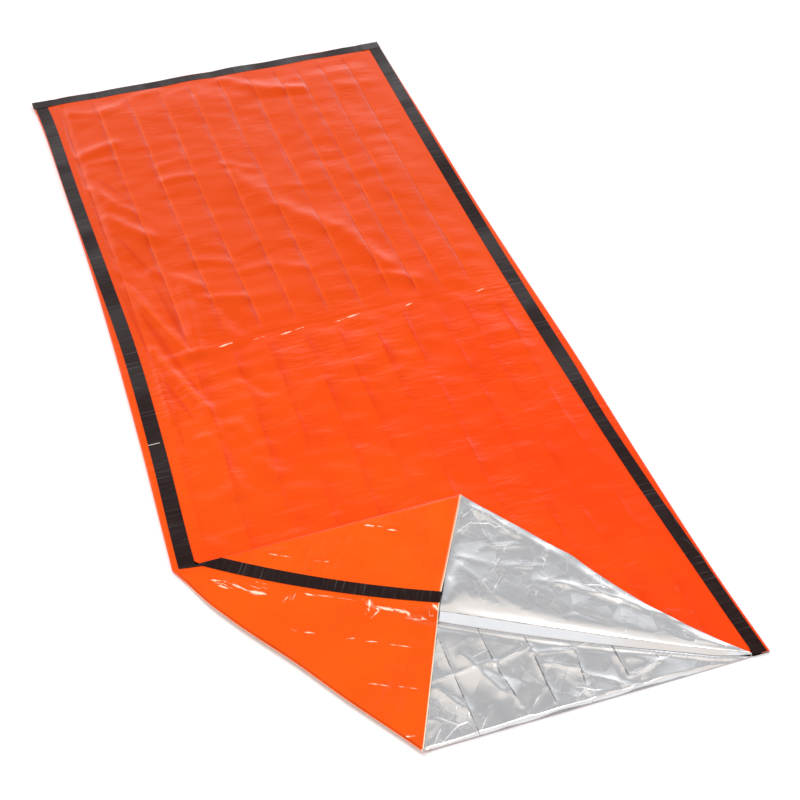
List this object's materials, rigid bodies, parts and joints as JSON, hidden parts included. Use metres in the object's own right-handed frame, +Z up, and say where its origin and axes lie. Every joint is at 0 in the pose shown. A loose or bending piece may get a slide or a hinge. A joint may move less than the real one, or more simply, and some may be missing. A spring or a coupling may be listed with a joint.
{
  "type": "emergency sleeping bag",
  "caption": "Emergency sleeping bag of film, orange outside and silver inside, taped along its sides and foot, lying flat with a corner of its mouth folded open.",
  "frame": {"origin": "on the ground under the middle of the bag's outline", "axes": "+X across the bag to the right of the mouth's viewer, +Y from the mouth to the foot, +Z up"},
  "size_m": [0.9302, 2.131, 0.0286],
  "materials": {
    "film": "thin crinkled film, orange outside and bright silver inside",
    "tape": "satin black tape with fine wrinkles across it"
  },
  "bodies": {
    "root": {"top_panel": "film", "bottom_panel": "film", "left_seam_tape": "tape", "right_seam_tape": "tape", "foot_seam_tape": "tape"}
  },
  "joints": []
}
